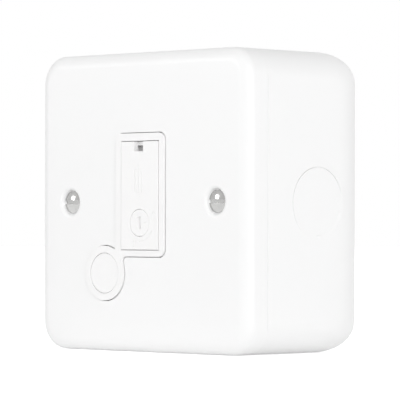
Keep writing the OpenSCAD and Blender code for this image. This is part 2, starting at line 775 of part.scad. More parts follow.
module lock_disc() color("white") stand()
    translate([0, -lock_below, 0])
        difference() {
            union() {
                translate([0, 0, lock_rear_z]) cylinder(h = lock_t, d = lock_d, $fn = round_fn);
                translate([0, 0, cam_rear_z])
                    cylinder(h = lock_rear_z - cam_rear_z + lock_t / 2, d = spindle_d, $fn = round_fn);
            }
            translate([-lock_slot_w / 2, -lock_slot_l / 2, lock_face_z - lock_slot_depth])
                cube([lock_slot_w, lock_slot_l, lock_slot_depth + overrun]);
            translate([-lock_serif_w / 2, lock_slot_l / 2 - lock_serif_h, lock_face_z - lock_slot_depth])
                cube([lock_serif_w, lock_serif_h, lock_slot_depth + overrun]);
        }

// Arm that turns with the lock and catches in the frame's keeper
module lock_cam() color("goldenrod") stand()
    translate([0, -lock_below, cam_rear_z])
        difference() {
            linear_extrude(cam_t) {
                circle(spindle_d / 2 + cam_w / 2, $fn = round_fn);
                translate([-cam_w / 2, 0]) square([cam_w, cam_reach - cam_w / 2]);
                translate([0, cam_reach - cam_w / 2]) circle(cam_w / 2, $fn = round_fn);
            }
            translate([0, 0, -overrun])
                cylinder(h = cam_t + 2 * overrun, d = spindle_d + 2 * cradle_gap, $fn = round_fn);
        }

module fuse_barrel() color("ivory") stand()
    translate([0, carrier_centre_y, fuse_z])
        rotate([90, 0, 0])
            translate([0, 0, cap_t - fuse_l / 2])
                cylinder(h = fuse_l - 2 * cap_t, d = fuse_d - 2 * cap_t, $fn = round_fn);

module fuse_cap(side) color("silver") stand()
    translate([0, carrier_centre_y + side * cap_centre_out, fuse_z])
        rotate([side * 90, 0, 0])
            translate([0, 0, -cap_l / 2])
                difference() {
                    cylinder(h = cap_l, d = fuse_d, $fn = round_fn);
                    translate([0, 0, cap_t])
                        cylinder(h = cap_l, d = fuse_d - 2 * cap_t + 2 * thread_gap, $fn = round_fn);
                }

// Fork that grips one end cap, with its foot on the housing's floor at the height of the strips
module fork(y) {
    translate([-leaf_out - leaf_t, y - leaf_w / 2, strip_rear_z])
        cube([2 * (leaf_out + leaf_t), leaf_w, strip_t]);
    for (side = [-1, 1])
        translate([side * (leaf_out + leaf_t / 2) - leaf_t / 2, y - leaf_w / 2, strip_rear_z])
            cube([leaf_t, leaf_w, leaf_tip_z - strip_rear_z]);
}

// Run of brass strip between two points that share an X or a Y
module strip_run(a, b) {
    low = [min(a[0], b[0]), min(a[1], b[1])];
    high = [max(a[0], b[0]), max(a[1], b[1])];
    translate([low[0] - strip_w / 2, low[1] - strip_w / 2, strip_rear_z])
        cube([high[0] - low[0] + strip_w, high[1] - low[1] + strip_w, strip_t]);
}

module supply_fuse_contact() color("goldenrod") stand() {
    fork(upper_jaw_y);
    strip_run([0, upper_jaw_y], [live_right, upper_jaw_y]);
    strip_run([live_right, upper_jaw_y], [live_right, supply_above]);
}

module load_fuse_contact() color("goldenrod") stand() {
    fork(lower_jaw_y);
    strip_run([0, lower_jaw_y], [live_right, lower_jaw_y]);
    strip_run([live_right, lower_jaw_y], [live_right, -load_below]);
}

module neutral_link() color("goldenrod") stand() {
    strip_run([-neutral_left, supply_above], [-neutral_left, link_y]);
    strip_run([-neutral_left, link_y], [neutral_load_right, link_y]);
    strip_run([neutral_load_right, link_y], [neutral_load_right, -load_below]);
}

module placed_terminal(x, y, w, wires) color("goldenrod") stand()
    translate([x, y, strip_rear_z]) terminal_block(w, wires);

module live_supply_terminal() placed_terminal(live_right, supply_above, terminal_w, 1);

module live_load_terminal() placed_terminal(live_right, -load_below, terminal_w, 1);

module neutral_supply_terminal() placed_terminal(-neutral_left, supply_above, terminal_w, 1);

module neutral_load_terminal() placed_terminal(neutral_load_right, -load_below, terminal_w, 1);

module earth_terminal() placed_terminal(0, supply_above, earth_terminal_w, 2);

// Pocket for a terminal: its seat, the way for its screw and the ways for its wires
module terminal_pocket(x, y, w, wires, outward) {
    step = w / wires;
    translate([x - w / 2 - pocket_gap, y - terminal_h / 2 - pocket_gap, terminal_rear_z])
        cube([w + 2 * pocket_gap, terminal_h + 2 * pocket_gap, housing_front_z - terminal_rear_z + overrun]);
    for (i = [0:wires - 1])
        translate([x + step * (i + 0.5) - w / 2, y, 0]) {
            translate([0, 0, housing_rear_z - overrun])
                cylinder(
                    h = housing_rear_t + 2 * overrun,
                    d = terminal_screw_head_d + 2 * hole_gap,
                    $fn = round_fn
                );
            translate([0, 0, strip_rear_z - terminal_t * (1 - wire_bore_share)])
                rotate([-90 * outward, 0, 0])
                    cylinder(h = housing_above, d = wire_bore_d + 2 * hole_gap, $fn = round_fn);
        }
}

// Channel for a run of strip between two points, the lower left one first, open to the front
module strip_channel(low, high) {
    side = strip_w + 2 * pocket_gap;
    translate([low[0] - side / 2, low[1] - side / 2, strip_rear_z])
        cube([
            high[0] - low[0] + side,
            high[1] - low[1] + side,
            housing_front_z - strip_rear_z + overrun,
        ]);
}

module rear_housing() color("gainsboro") stand()
    difference() {
        translate([0, (housing_above - housing_below) / 2, housing_rear_z])
            linear_extrude(housing_front_z - housing_rear_z)
                round_rect(housing_w, housing_above + housing_below, housing_corner_r);
        // Way for the frame's well and the fuse
        translate([0, carrier_centre_y, strip_rear_z])
            linear_extrude(housing_front_z - strip_rear_z + overrun)
                square([well_w + 2 * pocket_gap, well_h + 2 * pocket_gap], center = true);
        // Channels for the strips
        strip_channel([0, upper_jaw_y], [live_right, upper_jaw_y]);
        strip_channel([live_right, upper_jaw_y], [live_right, supply_above]);
        strip_channel([0, lower_jaw_y], [live_right, lower_jaw_y]);
        strip_channel([live_right, -load_below], [live_right, lower_jaw_y]);
        strip_channel([-neutral_left, link_y], [-neutral_left, supply_above]);
        strip_channel([-neutral_left, link_y], [neutral_load_right, link_y]);
        strip_channel([neutral_load_right, -load_below], [neutral_load_right, link_y]);
        terminal_pocket(live_right, supply_above, terminal_w, 1, 1);
        terminal_pocket(-neutral_left, supply_above, terminal_w, 1, 1);
        terminal_pocket(0, supply_above, earth_terminal_w, 2, 1);
        terminal_pocket(live_right, -load_below, terminal_w, 1, -1);
        terminal_pocket(neutral_load_right, -load_below, terminal_w, 1, -1);
        // Way for the flex, open at the bottom
        translate([-outlet_left, -outlet_below, housing_rear_z - overrun])
            linear_extrude(housing_front_z - housing_rear_z + 2 * overrun) {
                circle(flex_way_r, $fn = round_fn);
                translate([-flex_way_r, -outlet_below]) square([2 * flex_way_r, outlet_below]);
            }
        for (side = [-1, 1])
            translate([side * housing_screw_out, 0, housing_rear_z - overrun])
                cylinder(
                    h = housing_front_z - housing_rear_z + 2 * overrun,
                    d = housing_screw_d + 2 * hole_gap,
                    $fn = round_fn
                );
        for (x = [-grip_left, -grip_right])
            translate([x, grip_bore_y, grip_z])
                rotate([-90, 0, 0])
                    translate([0, 0, -overrun])
                        cylinder(
                            h = grip_screw_l + overrun,
                            d = grip_screw_d + 2 * thread_gap,
                            $fn = round_fn
                        );
    }

module housing_screw(side) color("silver") stand()
    translate([side * housing_screw_out, 0, housing_rear_z + housing_screw_l])
        rear_screw(housing_screw_d, housing_screw_l, housing_screw_head_d, housing_screw_head_t);

module cord_grip_bar() color("white") stand()
    difference() {
        translate([-outlet_left, grip_bore_y, grip_z])
            rotate([90, 0, 0])
                linear_extrude(grip_t)
                    round_rect(grip_left - grip_right + grip_w, grip_w, grip_w / 4);
        for (x = [-grip_left, -grip_right])
            translate([x, grip_bore_y - grip_t - overrun, grip_z])
                rotate([-90, 0, 0])
                    cylinder(h = grip_t + 2 * overrun, d = grip_screw_d + 2 * hole_gap, $fn = round_fn);
        translate([-outlet_left, grip_bore_y, grip_z - grip_w])
            cylinder(h = 2 * grip_w, r = grip_groove_depth, $fn = round_fn);
    }

module cord_grip_screw(x) color("silver") stand()
    translate([x, grip_bore_y + grip_screw_l - hole_gap, grip_z])
        rotate([-90, 0, 0])
            rear_screw(grip_screw_d, grip_screw_l - hole_gap + grip_t, grip_screw_head_d, grip_screw_head_t);

module box_earth_terminal() color("goldenrod") stand()
    translate([box_earth_right, -box_earth_below, box_floor_t + box_earth_post_h])
        rotate([180, 0, 0]) terminal_block(terminal_w, 1);

module box_earth_screw() color("silver") stand()
    translate([
        box_earth_right,
        -box_earth_below,
        box_floor_t + box_earth_post_h + terminal_t * (1 - wire_bore_share) + wire_bore_d / 2,
    ])
        rotate([180, 0, 0])
            rear_screw(
                terminal_screw_d,
                terminal_t * wire_bore_share - wire_bore_d / 2 + housing_rear_t / 2,
                terminal_screw_head_d,
                terminal_screw_head_t
            );

back_box();
fixing_insert(-1);  // fixing_insert_left
fixing_insert(1);  // fixing_insert_right
box_earth_terminal();
box_earth_screw();
front_plate();
plate_screw(-1);  // plate_screw_left
plate_screw(1);  // plate_screw_right
insert_frame();
fuse_carrier();
fuse_barrel();
fuse_cap(1);  // fuse_cap_upper
fuse_cap(-1);  // fuse_cap_lower
lock_disc();
lock_cam();
supply_fuse_contact();
load_fuse_contact();
neutral_link();
live_supply_terminal();
live_load_terminal();
neutral_supply_terminal();
neutral_load_terminal();
earth_terminal();
live_supply_screw();
live_load_screw();
neutral_supply_screw();
neutral_load_screw();
earth_screws();
rear_housing();
housing_screw(-1);  // housing_screw_left
housing_screw(1);  // housing_screw_right
cord_grip_bar();
cord_grip_screw(-grip_left);  // cord_grip_screw_left
cord_grip_screw(-grip_right);  // cord_grip_screw_right
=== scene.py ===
# %% [markdown]
# # Looks of a fused spur unit
# The CAD model gives every piece its size and place. Here the pieces that show get soft
# moulded edges, smooth skins and materials, and a camera and a plain studio are set up.

# %% Load the frame
import json
import math
import bmesh
import bpy
from mathutils import Matrix, Vector


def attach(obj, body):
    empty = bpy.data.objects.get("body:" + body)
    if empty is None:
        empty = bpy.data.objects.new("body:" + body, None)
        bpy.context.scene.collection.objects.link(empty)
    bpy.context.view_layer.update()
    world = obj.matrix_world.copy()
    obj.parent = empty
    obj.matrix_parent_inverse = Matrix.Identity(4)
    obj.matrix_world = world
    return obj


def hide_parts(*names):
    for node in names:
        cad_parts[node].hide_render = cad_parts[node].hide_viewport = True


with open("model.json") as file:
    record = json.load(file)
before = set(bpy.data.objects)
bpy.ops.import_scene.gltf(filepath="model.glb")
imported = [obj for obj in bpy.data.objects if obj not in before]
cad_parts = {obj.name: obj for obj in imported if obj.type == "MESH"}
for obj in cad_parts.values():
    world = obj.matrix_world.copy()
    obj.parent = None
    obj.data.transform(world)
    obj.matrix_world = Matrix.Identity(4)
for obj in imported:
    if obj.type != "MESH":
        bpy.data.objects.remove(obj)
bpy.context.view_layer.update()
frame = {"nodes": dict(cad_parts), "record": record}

mm = 0.001

# %% [markdown]
# ## Small tools
# Blender's operators act on what is selected. So one helper deselects everything and picks a
# single piece, and another picks edges or faces of that piece in edit mode by their place.

# %% Select a piece and put its place in its mesh
def use(piece):
    if bpy.context.object and bpy.context.object.mode != "OBJECT":
        bpy.ops.object.mode_set(mode="OBJECT")
    bpy.ops.object.select_all(action="DESELECT")
    piece.select_set(True)
    bpy.context.view_layer.objects.active = piece


def settle(name):
    piece = bpy.context.active_object
    piece.name = piece.data.name = name
    use(piece)
    bpy.ops.object.transform_apply(location=True, rotation=True, scale=True)
    return piece


# %% Add a block or a rod, with sizes in millimetres
def block(name, low, high):
    bpy.ops.object.select_all(action="DESELECT")
    centre = [(a + b) / 2 * mm for a, b in zip(low, high)]
    bpy.ops.mesh.primitive_cube_add(size=1, location=centre)
    bpy.context.active_object.scale = [(b - a) * mm for a, b in zip(low, high)]
    return settle(name)


TURNS = {"X": (0, math.pi / 2, 0), "Y": (math.pi / 2, 0, 0), "Z": (0, 0, 0)}


def rod(name, start, length, radius, axis="Y", sides=72):
    bpy.ops.object.select_all(action="DESELECT")
    centre = Vector(start) * mm
    centre["XYZ".index(axis)] += length / 2 * mm
    bpy.ops.mesh.primitive_cylinder_add(
        vertices=sides, radius=radius * mm, depth=abs(length) * mm, location=centre, rotation=TURNS[axis])
    return settle(name)


# %% Pick edges or faces in edit mode, by a test on them
def pick_edges(piece, test):
    use(piece)
    bpy.ops.object.mode_set(mode="EDIT")
    bpy.ops.mesh.select_mode(type="EDGE")
    bpy.ops.mesh.select_all(action="DESELECT")
    mesh = bmesh.from_edit_mesh(piece.data)
    found = [e for e in mesh.edges if test(e.verts[0].co / mm, e.verts[1].co / mm, e)]
    for e in found:
        e.select_set(True)
    bmesh.update_edit_mesh(piece.data)
    return len(found)


def pick_faces(piece, test):
    use(piece)
    bpy.ops.object.mode_set(mode="EDIT")
    bpy.ops.mesh.select_mode(type="FACE")
    bpy.ops.mesh.select_all(action="DESELECT")
    mesh = bmesh.from_edit_mesh(piece.data)
    found = [f for f in mesh.faces if test(f.calc_center_median() / mm, f.normal, f)]
    for f in found:
        f.select_set(True)
    bmesh.update_edit_mesh(piece.data)
    return len(found)


def leave_edit():
    bpy.ops.object.mode_set(mode="OBJECT")


def round_edges(piece, test, size, steps):
    count = pick_edges(piece, test)
    if count:
        bpy.ops.mesh.bevel(offset=size * mm, offset_type="OFFSET", segments=steps, affect="EDGES",
                           clamp_overlap=True)
    leave_edit()
    return count


def sharp(e, degrees=25):
    return len(e.link_faces) == 2 and e.calc_face_angle(0) > math.radians(degrees)


def both_at(a, b, axis, value, slack=0.004):
    return abs(a[axis] - value) < slack and abs(b[axis] - value) < slack


# %% Cut one piece with another, or join them into one skin
def change(piece, kind, **settings):
    use(piece)
    modifier = piece.modifiers.new(kind.title(), kind)
    for key, value in settings.items():
        setattr(modifier, key, value)
    bpy.ops.object.modifier_apply(modifier=modifier.name)


def cut(piece, tool):
    change(piece, "BOOLEAN", object=tool, operation="DIFFERENCE", solver="EXACT")
    bpy.data.objects.remove(tool)
    return piece


def weld(piece, tool):
    change(piece, "BOOLEAN", object=tool, operation="UNION", solver="EXACT")
    bpy.data.objects.remove(tool)
    return piece


# %% Turn a profile round an axis along Y, as on a lathe
def lathe(name, profile, centre, steps=72):
    bpy.ops.object.select_all(action="DESELECT")
    first = Vector((centre[0] + profile[0][0], profile[0][1], centre[1])) * mm
    bpy.ops.mesh.primitive_plane_add(size=mm, location=first)
    bpy.ops.object.mode_set(mode="EDIT")
    bpy.ops.mesh.select_mode(type="VERT")
    bpy.ops.mesh.select_all(action="SELECT")
    bpy.ops.mesh.merge(type="CENTER")
    bpy.ops.mesh.select_all(action="SELECT")
    for (r0, y0), (r1, y1) in zip(profile, profile[1:]):
        bpy.ops.mesh.extrude_region_move(TRANSFORM_OT_translate={"value": ((r1 - r0) * mm, (y1 - y0) * mm, 0)})
    bpy.ops.mesh.select_all(action="SELECT")
    bpy.ops.mesh.spin(
        steps=steps, angle=2 * math.pi, center=(centre[0] * mm, 0, centre[1] * mm), axis=(0, 1, 0))
    bpy.ops.mesh.select_mode(type="VERT")
    bpy.ops.mesh.select_all(action="SELECT")
    bpy.ops.mesh.remove_doubles(threshold=0.002 * mm)
    bpy.ops.mesh.normals_make_consistent(inside=False)
    leave_edit()
    return settle(name)


# %% Give a piece its smooth skin, its material and its place in the frame
def dress(piece, body, nodes, material, smooth=32):
    use(piece)
    bpy.ops.object.shade_smooth_by_angle(angle=math.radians(smooth))
    change(piece, "WEIGHTED_NORMAL", mode="FACE_AREA", weight=50, keep_sharp=True)
    piece.data.materials.clear()
    piece.data.materials.append(material)
    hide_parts(*nodes)
    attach(piece, body)
    print(piece.name, len(piece.data.polygons), "faces")
    return piece


# %% [markdown]
# ## Shared effects for the materials
# All the white mouldings have the same fine orange peel and the same slow drift in gloss, so
# both live in one shader group with its own inputs. The metals share a second group.

# %% Start a shader group
def new_group(name, inputs, outputs):
    group = bpy.data.node_groups.new(name, "ShaderNodeTree")
    for title, kind, value in inputs:
        made = group.interface.new_socket(title, in_out="INPUT", socket_type=kind)
        made.default_value = value
    for title, kind in outputs:
        group.interface.new_socket(title, in_out="OUTPUT", socket_type=kind)
    start = group.nodes.new("NodeGroupInput")
    end = group.nodes.new("NodeGroupOutput")
    return group, start, end


def math_node(tree, operation, a, b):
    node = tree.nodes.new("ShaderNodeMath")
    node.operation = operation
    for socket, value in zip(node.inputs, (a, b)):
        if isinstance(value, (int, float)):
            socket.default_value = value
        else:
            tree.links.new(value, socket)
    return node.outputs[0]


def noise(tree, vector, scale, detail=3.0, rough=0.5):
    node = tree.nodes.new("ShaderNodeTexNoise")
    node.inputs["Scale"].default_value = scale
    node.inputs["Detail"].default_value = detail
    node.inputs["Roughness"].default_value = rough
    tree.links.new(vector, node.inputs["Vector"])
    return node.outputs["Fac"]


def spread(tree, value, low, high, to_low, to_high):
    node = tree.nodes.new("ShaderNodeMapRange")
    tree.links.new(value, node.inputs["Value"])
    for title, number in zip(("From Min", "From Max", "To Min", "To Max"), (low, high, to_low, to_high)):
        if isinstance(number, (int, float)):
            node.inputs[title].default_value = number
        else:
            tree.links.new(number, node.inputs[title])
    return node.outputs["Result"]


# %% The moulded skin: orange peel, drift in gloss, faint flow clouds and rare specks
moulded, start, end = new_group(
    "moulded skin",
    [("Vector", "NodeSocketVector", (0, 0, 0)), ("Colour", "NodeSocketColor", (0.9, 0.9, 0.9, 1)),
     ("Peel", "NodeSocketFloat", 0.5), ("Gloss drift", "NodeSocketFloat", 0.015),
     ("Roughness", "NodeSocketFloat", 0.3)],
    [("Colour", "NodeSocketColor"), ("Roughness", "NodeSocketFloat"), ("Height", "NodeSocketFloat")])
vector = start.outputs["Vector"]
clouds = noise(moulded, vector, 34.0, 2.0)
fine = noise(moulded, vector, 900.0, 2.0)
peel = noise(moulded, vector, 420.0, 1.0)
speck = noise(moulded, vector, 1500.0, 0.0)
tint = moulded.nodes.new("ShaderNodeMix")
tint.data_type = "RGBA"
tint.blend_type = "MULTIPLY"
tint.inputs["Factor"].default_value = 1.0
moulded.links.new(start.outputs["Colour"], tint.inputs["A"])
shade = math_node(moulded, "MULTIPLY", spread(moulded, clouds, 0.3, 0.7, 0.997, 1.0),
                  spread(moulded, speck, 0.84, 0.9, 1.0, 0.93))
grey = moulded.nodes.new("ShaderNodeCombineColor")
for channel in ("Red", "Green", "Blue"):
    moulded.links.new(shade, grey.inputs[channel])
moulded.links.new(grey.outputs["Color"], tint.inputs["B"])
moulded.links.new(tint.outputs["Result"], end.inputs["Colour"])
drift = math_node(moulded, "MULTIPLY", spread(moulded, clouds, 0.3, 0.7, -1.0, 1.0), start.outputs["Gloss drift"])
moulded.links.new(math_node(moulded, "ADD", start.outputs["Roughness"], drift), end.inputs["Roughness"])
height = math_node(moulded, "ADD", peel, math_node(moulded, "MULTIPLY", fine, 0.4))
moulded.links.new(math_node(moulded, "MULTIPLY", height, start.outputs["Peel"]), end.inputs["Height"])
print("moulded skin:", len(moulded.nodes), "nodes")

# %% The worked metal: fine scratches, handling marks and a drift in roughness
worked, start, end = new_group(
    "worked metal",
    [("Vector", "NodeSocketVector", (0, 0, 0)), ("Colour", "NodeSocketColor", (0.8, 0.8, 0.8, 1)),
     ("Dull colour", "NodeSocketColor", (0.5, 0.5, 0.5, 1)), ("Dullness", "NodeSocketFloat", 0.3),
     ("Roughness", "NodeSocketFloat", 0.2)],
    [("Colour", "NodeSocketColor"), ("Roughness", "NodeSocketFloat"), ("Height", "NodeSocketFloat")])
vector = start.outputs["Vector"]
patches = noise(worked, vector, 260.0, 4.0, 0.6)
grain = noise(worked, vector, 2600.0, 2.0)
mix = worked.nodes.new("ShaderNodeMix")
mix.data_type = "RGBA"
worked.links.new(math_node(worked, "MULTIPLY", spread(worked, patches, 0.35, 0.75, 0.0, 1.0),
                           start.outputs["Dullness"]), mix.inputs["Factor"])
worked.links.new(start.outputs["Colour"], mix.inputs["A"])
worked.links.new(start.outputs["Dull colour"], mix.inputs["B"])
worked.links.new(mix.outputs["Result"], end.inputs["Colour"])
worked.links.new(math_node(worked, "ADD", start.outputs["Roughness"],
                           spread(worked, patches, 0.3, 0.8, 0.0, 0.08)), end.inputs["Roughness"])
worked.links.new(grain, end.inputs["Height"])
print("worked metal:", len(worked.nodes), "nodes")


# %% [markdown]
# ## Materials
# White electrical mouldings are glossy, but never mirrors. The plate and the box are one hard
# white, the fuse insert is a touch warmer. Screws are nickel with painted shade: their colour is
# set darker than nickel's own, standing in for the dark room their domes mirror. Terminals plain brass.

# %% Build a material from a group
def material(name, group, values, metallic=0.0, bump=0.02):
    made = bpy.data.materials.new(name)
    made.use_nodes = True
    tree = made.node_tree
    shader = tree.nodes["Principled BSDF"]
    place = tree.nodes.new("ShaderNodeTexCoord")
    skin = tree.nodes.new("ShaderNodeGroup")
    skin.node_tree = group
    tree.links.new(place.outputs["Object"], skin.inputs["Vector"])
    for key, value in values.items():
        skin.inputs[key].default_value = value
    tree.links.new(skin.outputs["Colour"], shader.inputs["Base Color"])
    tree.links.new(skin.outputs["Roughness"], shader.inputs["Roughness"])
    relief = tree.nodes.new("ShaderNodeBump")
    relief.inputs["Strength"].default_value = 1.0
    relief.inputs["Distance"].default_value = bump * mm
    tree.links.new(skin.outputs["Height"], relief.inputs["Height"])
    tree.links.new(relief.outputs["Normal"], shader.inputs["Normal"])
    shader.inputs["Metallic"].default_value = metallic
    return made


# %% The finishes
plate_white = material("plate white", moulded, {
    "Colour": (0.905, 0.905, 0.905, 1), "Peel": 0.6, "Roughness": 0.38}, bump=0.012)
box_white = material("box white", moulded, {
    "Colour": (0.905, 0.905, 0.905, 1), "Peel": 0.8, "Roughness": 0.4}, bump=0.014)
insert_white = material("insert white", moulded, {
    "Colour": (0.907, 0.904, 0.903, 1), "Peel": 0.8, "Roughness": 0.36}, bump=0.016)
housing_white = material("housing white", moulded, {
    "Colour": (0.78, 0.78, 0.75, 1), "Peel": 1.0, "Roughness": 0.48}, bump=0.03)
# The screws' colour is painted shade: darker than nickel's own, standing in for the dark surroundings their domes
# mirror.
bright_steel = material("steel with painted shade", worked, {
    "Colour": (0.5, 0.498, 0.492, 1), "Dull colour": (0.28, 0.28, 0.276, 1), "Dullness": 0.5,
    "Roughness": 0.11}, metallic=1.0, bump=0.004)
zinc_steel = material("zinc steel", worked, {
    "Colour": (0.66, 0.66, 0.63, 1), "Dull colour": (0.42, 0.41, 0.38, 1), "Dullness": 0.5,
    "Roughness": 0.28}, metallic=1.0, bump=0.008)
brass = material("brass", worked, {
    "Colour": (0.80, 0.62, 0.32, 1), "Dull colour": (0.48, 0.34, 0.16, 1), "Dullness": 0.45,
    "Roughness": 0.22}, metallic=1.0, bump=0.006)
cap_metal = material("cap metal", worked, {
    "Colour": (0.77, 0.76, 0.73, 1), "Dull colour": (0.5, 0.49, 0.46, 1), "Dullness": 0.3,
    "Roughness": 0.16}, metallic=1.0, bump=0.004)
fuse_ceramic = material("fuse ceramic", moulded, {
    "Colour": (0.82, 0.79, 0.72, 1), "Peel": 1.0, "Roughness": 0.62}, bump=0.04)
print("materials:", len(bpy.data.materials))

# %% [markdown]
# ## The keyhole outline
# The insert has a frame round the fuse carrier that runs into a round flex outlet. The plate's
# opening is the same outline grown by the fit, so one helper makes both.

# %% Sizes that pieces share, in millimetres
WALL, RIM, FACE = 0.0, -41.0, -48.8
FRAME_FACE, CARRIER_FACE = -49.3, -49.4
SCREW_OUT = 30.15
HOUSING_SCREW_OUT = 21.4
HALF = 43.5
PLATE_CORNER, PLATE_WALL, PLATE_HOLLOW = 8.5, 2.4, 5.2
BOX_CORNER, BOX_WALL, BOX_HOLLOW, BOX_FLOOR = 9.2, 2.3, 38.6, 2.4
WALL_HOLE_OUT, WALL_SLOT_OUT = 25.5, 19
OUTLET = (-14.8, -20.8)
RING_R, DISC_R = 8.0, 5.95
FRAME_X, FRAME_LOW, FRAME_HIGH, FRAME_CORNER = 10.05, -15.9, 19.9, 2.3
CARRIER_X, CARRIER_LOW, CARRIER_HIGH = 7.7, -13.9, 17.5
LOCK = (0.0, -6.1)
LOCK_R = 3.9
FILLET = 1.5
PARTING = 0.28


# %% Make a keyhole-shaped solid between two heights
def keyhole(name, grow, back, front):
    low_z = FRAME_LOW - FILLET
    fillet_x = OUTLET[0] + math.sqrt((RING_R + FILLET) ** 2 - (low_z - OUTLET[1]) ** 2)
    solid = block(name, (-FRAME_X - grow, front, FRAME_LOW - grow), (FRAME_X + grow, back, FRAME_HIGH + grow))
    round_edges(solid, lambda a, b, e: abs(a[1] - b[1]) > 0.01, FRAME_CORNER + grow, 8)
    web = block("web", (OUTLET[0], front, OUTLET[1]), (fillet_x, back, FRAME_LOW + FRAME_CORNER))
    slope = (low_z - OUTLET[1]) / (fillet_x - OUTLET[0])
    use(web)
    bpy.ops.object.mode_set(mode="EDIT")
    mesh = bmesh.from_edit_mesh(web.data)
    for v in mesh.verts:
        v.select_set(False)
    for v in mesh.verts:
        if v.co.z < (FRAME_LOW - 1) * mm and v.co.x > (fillet_x - 1) * mm:
            v.select_set(True)
    bmesh.update_edit_mesh(web.data)
    bpy.ops.transform.translate(value=(0, 0, slope * (fillet_x - OUTLET[0]) * mm))
    leave_edit()
    cut(web, rod("bite", (fillet_x, front - 1, low_z), back - front + 2, FILLET - grow + 0.02, sides=64))
    weld(solid, rod("ring", (OUTLET[0], front, OUTLET[1]), back - front, RING_R + grow, sides=96))
    return weld(solid, web)


# %% [markdown]
# ## The front plate
# A shallow square tray in polished urea. It starts as a block: four corner edges are rounded,
# then the front edge. That rounding is wider than deep, so the slab is stretched, bevelled with
# a plain round and squeezed back. The rear is inset and pushed in to leave the wall.

# %% Stretch or squeeze a piece along Y, about a plane that stays
def stretch_along(piece, plane, factor):
    pick_faces(piece, lambda c, n, f: True)
    bpy.ops.transform.resize(value=(1, factor, 1), center_override=(0, plane * mm, 0))
    leave_edit()


# %% Move a piece in millimetres along X and Z
def moved(piece, x, z):
    piece.location = Vector((x, 0, z)) * mm
    use(piece)
    return settle(piece.name)


# %% The plate's slab and its rounded edges
plate = block("front_plate_moulding", (-HALF, FACE, -HALF), (HALF, RIM, HALF))
round_edges(plate, lambda a, b, e: abs(a[1] - b[1]) > 1, PLATE_CORNER, 14)
EDGE_W, EDGE_H = 4.2, 3.0
stretch_along(plate, RIM, EDGE_W / EDGE_H)
far = RIM + (FACE - RIM) * EDGE_W / EDGE_H
count = round_edges(plate, lambda a, b, e: both_at(a, b, 1, far) and sharp(e), EDGE_W, 10)
stretch_along(plate, RIM, EDGE_H / EDGE_W)
print("front edge bevelled over", count, "edges; height", round(plate.dimensions.y / mm, 3))

# %% The parting chamfer and the hollow behind the face
round_edges(plate, lambda a, b, e: both_at(a, b, 1, RIM) and sharp(e), PARTING, 2)
pick_faces(plate, lambda c, n, f: n.y > 0.99 and abs(c[1] - RIM) < 0.01)
bpy.ops.mesh.inset(thickness=(PLATE_WALL - PARTING) * mm, depth=0, use_even_offset=True)
bpy.ops.mesh.extrude_region_move(TRANSFORM_OT_translate={"value": (0, -PLATE_HOLLOW * mm, 0)})
leave_edit()

# %% Bosses behind the face, the dished screw holes and the keyhole opening
for side in (-1, 1):
    weld(plate, rod("boss", (side * SCREW_OUT, RIM - 0.05, 0), -6.5, 4.2))
    weld(plate, rod("boss", (side * HOUSING_SCREW_OUT, -44.8, 0), -2.6, 3.0, sides=48))
LIP = 1.15
lip = [(3.5 + LIP * (1 - math.cos(t)), FACE + LIP * (1 - math.sin(t)))
       for t in [math.pi / 2 * i / 8 for i in range(9)]]
for side in (-1, 1):
    hole = [(0, -40), (1.9, -40), (1.9, -46.15), (3.5, -47.75)] + lip + [(lip[-1][0], FACE - 1), (0, FACE - 1)]
    cut(plate, lathe("dished hole", hole, (side * SCREW_OUT, 0)))
    cut(plate, rod("pilot", (side * HOUSING_SCREW_OUT, -44, 0), -3.3, 1.35, sides=32))
FIT, SHIFT = 0.18, 0.08
cut(plate, moved(keyhole("opening", FIT, -40, -50), SHIFT, 0))
opening = round_edges(
    plate, lambda a, b, e: both_at(a, b, 1, FACE) and sharp(e, 60) and abs(a[0]) < 26 and abs(a[2]) < 32, 0.2, 3)
print("opening edge softened over", opening, "edges")
dress(plate, "root", ["front_plate"], plate_white)

# %% [markdown]
# ## The back box
# A deep tray with generous round edges against the wall. Each knock-out is a thin web left by a
# groove inside. Outside it has a fine line all round and a shallow ramp over a quarter, which
# rises outwards and so catches the light.

# %% The box's outside and inside
box = block("back_box_moulding", (-HALF, RIM, -HALF), (HALF, WALL, HALF))
round_edges(box, lambda a, b, e: abs(a[1] - b[1]) > 1, BOX_CORNER, 14)
EDGE_OUT, EDGE_DEEP = 5.5, 12.0
stretch_along(box, WALL, EDGE_OUT / EDGE_DEEP)
round_edges(box, lambda a, b, e: both_at(a, b, 1, WALL) and sharp(e), EDGE_OUT, 14)
stretch_along(box, WALL, EDGE_DEEP / EDGE_OUT)
round_edges(box, lambda a, b, e: both_at(a, b, 1, RIM) and sharp(e), PARTING, 2)
pick_faces(box, lambda c, n, f: n.y < -0.99 and abs(c[1] - RIM) < 0.01)
bpy.ops.mesh.inset(thickness=(BOX_WALL - PARTING) * mm, depth=0, use_even_offset=True)
bpy.ops.mesh.extrude_region_move(TRANSFORM_OT_translate={"value": (0, BOX_HOLLOW * mm, 0)})
leave_edit()
round_edges(box, lambda a, b, e: both_at(a, b, 1, -BOX_FLOOR) and sharp(e), 5.7, 6)

# %% Pillars, pads and the earth post inside
for side in (-1, 1):
    pillar = rod("pillar", (side * SCREW_OUT, -30, 0), -11, 4.6)
    web_in, web_out = sorted((side * SCREW_OUT, side * 42.3))
    weld(pillar, block("web", (web_in, -41.0, -4.6), (web_out, -30.0, 4.6)))
    weld(box, pillar)
    weld(box, rod("pad", (0, -1.2, side * WALL_HOLE_OUT), -2.2, 5.0))
weld(box, block("post", (23.5, -7.4, -27.5), (30.5, -1.2, -20.5)))

